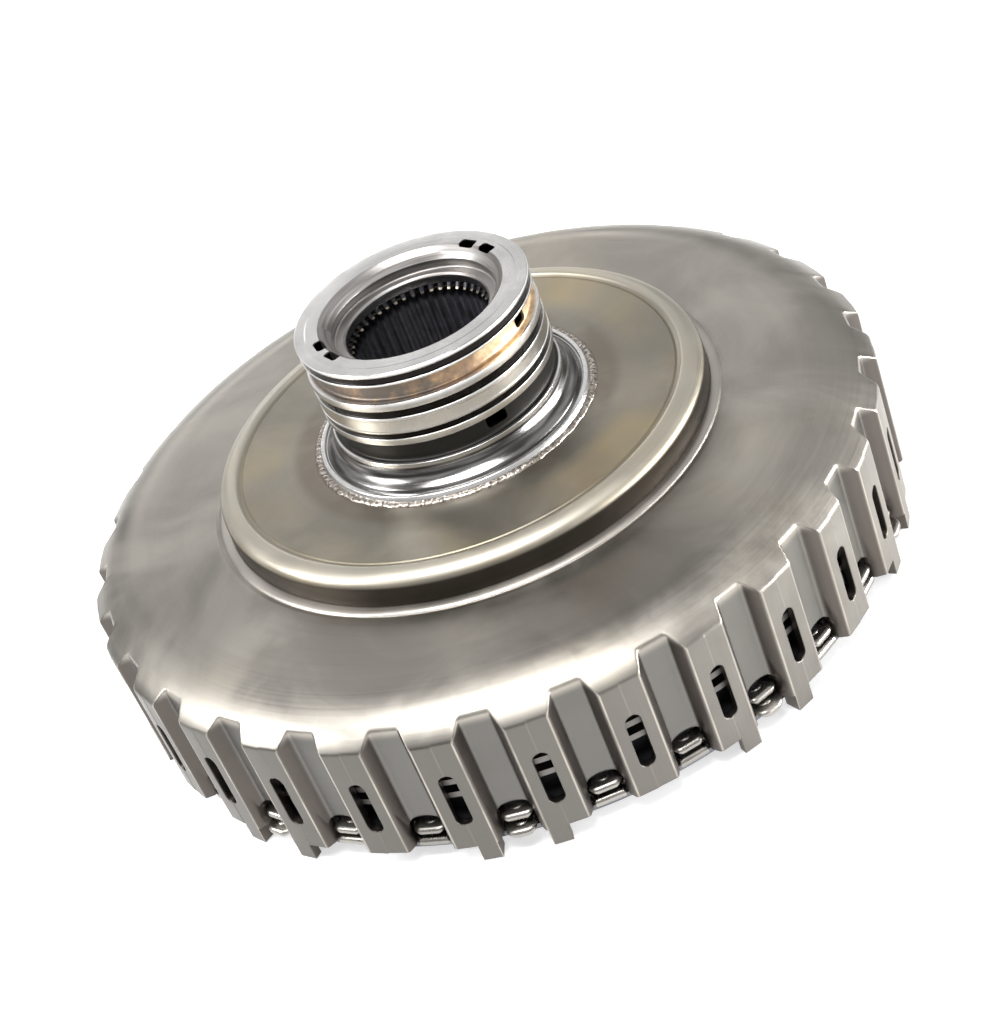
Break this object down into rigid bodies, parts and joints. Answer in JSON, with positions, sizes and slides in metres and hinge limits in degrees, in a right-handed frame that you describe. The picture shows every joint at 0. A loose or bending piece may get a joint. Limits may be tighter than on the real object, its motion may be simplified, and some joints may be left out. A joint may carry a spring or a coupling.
{
  "type": "wet dual-clutch module",
  "caption": "Castellated steel clutch drum on an oil-feed hub with seal-ring grooves and internal spline, holding two nested wet plate clutches.",
  "frame": {"origin": "centre of the circle through the tab tips, the lowest points", "axes": "+Z along the shaft axis, towards the free end of the oil-feed hub; +X through the middle of a land without a tab"},
  "size_m": [0.236, 0.2356, 0.098],
  "materials": {
    "drum_steel": "satin formed sheet steel, warm grey",
    "flange_steel": "satin turned sheet steel with heat tint",
    "weld_steel": "rippled weld bead",
    "ground_steel": "ground and polished",
    "ring_iron": "dark lapped",
    "plate_steel": "tumbled stamping",
    "dark_steel": "phosphated",
    "carrier_steel": "formed, oiled",
    "spring_steel": "oil tempered",
    "core_steel": "stamped",
    "friction_paper": "paper friction lining",
    "seal_rubber": "moulded",
    "washer_polymer": "moulded"
  },
  "bodies": {
    "housing": {"outer_drum": "drum_steel", "hub_flange": "flange_steel", "flange_weld": "weld_steel", "feed_hub": "ground_steel", "hub_weld": "weld_steel", "seal_rings": "ring_iron", "drive_plate": "plate_steel", "input_hub": "ground_steel", "input_weld": "weld_steel", "drive_snap_ring": "spring_steel", "input_thrust_washer": "washer_polymer", "k1_end_ring": "plate_steel", "k1_end_plate": "dark_steel", "k1_inner_seal": "seal_rubber", "k1_return_spring": "spring_steel", "k2_outer_carrier": "carrier_steel", "k2_snap_ring": "spring_steel", "k2_end_plate": "dark_steel", "k2_inner_seal": "seal_rubber", "k2_balance_piston": "carrier_steel", "k2_balance_seal": "seal_rubber", "k2_balance_snap_ring": "spring_steel", "k2_return_springs": "spring_steel", "thrust_bearing": "ground_steel", "needle_bearing": "ground_steel"},
    "k1_piston_unit": {"k1_piston": "carrier_steel", "k1_outer_seal": "seal_rubber"},
    "k2_piston_unit": {"k2_piston": "carrier_steel", "k2_outer_seal": "seal_rubber"},
    "k1_output": {"k1_inner_carrier": "carrier_steel", "k1_shaft_hub": "ground_steel", "shaft_thrust_washer": "washer_polymer"},
    "k2_output": {"k2_inner_carrier": "carrier_steel", "k2_shaft_hub": "ground_steel", "thrust_race": "ground_steel"},
    "k1_separator_1": {"k1_separator_plate_1": "plate_steel"},
    "k1_friction_1": {"k1_friction_core_1": "core_steel", "k1_friction_lining_1": "friction_paper"},
    "k1_separator_2": {"k1_separator_plate_2": "plate_steel"},
    "k1_friction_2": {"k1_friction_core_2": "core_steel", "k1_friction_lining_2": "friction_paper"},
    "k1_separator_3": {"k1_separator_plate_3": "plate_steel"},
    "k1_friction_3": {"k1_friction_core_3": "core_steel", "k1_friction_lining_3": "friction_paper"},
    "k1_separator_4": {"k1_separator_plate_4": "plate_steel"},
    "k1_friction_4": {"k1_friction_core_4": "core_steel", "k1_friction_lining_4": "friction_paper"},
    "k2_separator_1": {"k2_separator_plate_1": "plate_steel"},
    "k2_friction_1": {"k2_friction_core_1": "core_steel", "k2_friction_lining_1": "friction_paper"},
    "k2_separator_2": {"k2_separator_plate_2": "plate_steel"},
    "k2_friction_2": {"k2_friction_core_2": "core_steel", "k2_friction_lining_2": "friction_paper"},
    "k2_separator_3": {"k2_separator_plate_3": "plate_steel"},
    "k2_friction_3": {"k2_friction_core_3": "core_steel", "k2_friction_lining_3": "friction_paper"},
    "k2_separator_4": {"k2_separator_plate_4": "plate_steel"},
    "k2_friction_4": {"k2_friction_core_4": "core_steel", "k2_friction_lining_4": "friction_paper"}
  },
  "joints": [
    {"name": "k1_piston_stroke", "type": "slide", "parent": "housing", "child": "k1_piston_unit", "axis": [0, 0, -1], "range_m": [0, 0.00135], "stiffness_N_per_m": 20000, "deforming": ["k1_return_spring"]},
    {"name": "k2_piston_stroke", "type": "slide", "parent": "housing", "child": "k2_piston_unit", "axis": [0, 0, -1], "range_m": [0, 0.00135], "stiffness_N_per_m": 20000, "deforming": ["k2_return_springs"]},
    {"name": "k1_output_spin", "type": "hinge", "parent": "housing", "child": "k1_output", "pos_m": [0, 0, 0.012], "axis": [0, 0, 1], "continuous": true},
    {"name": "k2_output_spin", "type": "hinge", "parent": "housing", "child": "k2_output", "pos_m": [0, 0, 0.025], "axis": [0, 0, 1], "continuous": true},
    {"name": "k1_separator_1_slide", "type": "slide", "parent": "housing", "child": "k1_separator_1", "axis": [0, 0, -1], "range_m": [0, 0.00121]},
    {"name": "k1_friction_1_slide", "type": "slide", "parent": "k1_output", "child": "k1_friction_1", "axis": [0, 0, -1], "range_m": [0, 0.00106]},
    {"name": "k1_separator_2_slide", "type": "slide", "parent": "housing", "child": "k1_separator_2", "axis": [0, 0, -1], "range_m": [0, 0.00091]},
    {"name": "k1_friction_2_slide", "type": "slide", "parent": "k1_output", "child": "k1_friction_2", "axis": [0, 0, -1], "range_m": [0, 0.00076]},
    {"name": "k1_separator_3_slide", "type": "slide", "parent": "housing", "child": "k1_separator_3", "axis": [0, 0, -1], "range_m": [0, 0.00061]},
    {"name": "k1_friction_3_slide", "type": "slide", "parent": "k1_output", "child": "k1_friction_3", "axis": [0, 0, -1], "range_m": [0, 0.00046]},
    {"name": "k1_separator_4_slide", "type": "slide", "parent": "housing", "child": "k1_separator_4", "axis": [0, 0, -1], "range_m": [0, 0.00031]},
    {"name": "k1_friction_4_slide", "type": "slide", "parent": "k1_output", "child": "k1_friction_4", "axis": [0, 0, -1], "range_m": [0, 0.00016]},
    {"name": "k2_separator_1_slide", "type": "slide", "parent": "housing", "child": "k2_separator_1", "axis": [0, 0, -1], "range_m": [0, 0.00121]},
    {"name": "k2_friction_1_slide", "type": "slide", "parent": "k2_output", "child": "k2_friction_1", "axis": [0, 0, -1], "range_m": [0, 0.00106]},
    {"name": "k2_separator_2_slide", "type": "slide", "parent": "housing", "child": "k2_separator_2", "axis": [0, 0, -1], "range_m": [0, 0.00091]},
    {"name": "k2_friction_2_slide", "type": "slide", "parent": "k2_output", "child": "k2_friction_2", "axis": [0, 0, -1], "range_m": [0, 0.00076]},
    {"name": "k2_separator_3_slide", "type": "slide", "parent": "housing", "child": "k2_separator_3", "axis": [0, 0, -1], "range_m": [0, 0.00061]},
    {"name": "k2_friction_3_slide", "type": "slide", "parent": "k2_output", "child": "k2_friction_3", "axis": [0, 0, -1], "range_m": [0, 0.00046]},
    {"name": "k2_separator_4_slide", "type": "slide", "parent": "housing", "child": "k2_separator_4", "axis": [0, 0, -1], "range_m": [0, 0.00031]},
    {"name": "k2_friction_4_slide", "type": "slide", "parent": "k2_output", "child": "k2_friction_4", "axis": [0, 0, -1], "range_m": [0, 0.00016]}
  ],
  "couplings": [
    {"joint": "k1_separator_1_slide", "follows": "k1_piston_stroke", "ratio": 0.88889},
    {"joint": "k1_friction_1_slide", "follows": "k1_piston_stroke", "ratio": 0.77778},
    {"joint": "k1_separator_2_slide", "follows": "k1_piston_stroke", "ratio": 0.66667},
    {"joint": "k1_friction_2_slide", "follows": "k1_piston_stroke", "ratio": 0.55556},
    {"joint": "k1_separator_3_slide", "follows": "k1_piston_stroke", "ratio": 0.44444},
    {"joint": "k1_friction_3_slide", "follows": "k1_piston_stroke", "ratio": 0.33333},
    {"joint": "k1_separator_4_slide", "follows": "k1_piston_stroke", "ratio": 0.22222},
    {"joint": "k1_friction_4_slide", "follows": "k1_piston_stroke", "ratio": 0.11111},
    {"joint": "k2_separator_1_slide", "follows": "k2_piston_stroke", "ratio": 0.88889},
    {"joint": "k2_friction_1_slide", "follows": "k2_piston_stroke", "ratio": 0.77778},
    {"joint": "k2_separator_2_slide", "follows": "k2_piston_stroke", "ratio": 0.66667},
    {"joint": "k2_friction_2_slide", "follows": "k2_piston_stroke", "ratio": 0.55556},
    {"joint": "k2_separator_3_slide", "follows": "k2_piston_stroke", "ratio": 0.44444},
    {"joint": "k2_friction_3_slide", "follows": "k2_piston_stroke", "ratio": 0.33333},
    {"joint": "k2_separator_4_slide", "follows": "k2_piston_stroke", "ratio": 0.22222},
    {"joint": "k2_friction_4_slide", "follows": "k2_piston_stroke", "ratio": 0.11111}
  ]
}
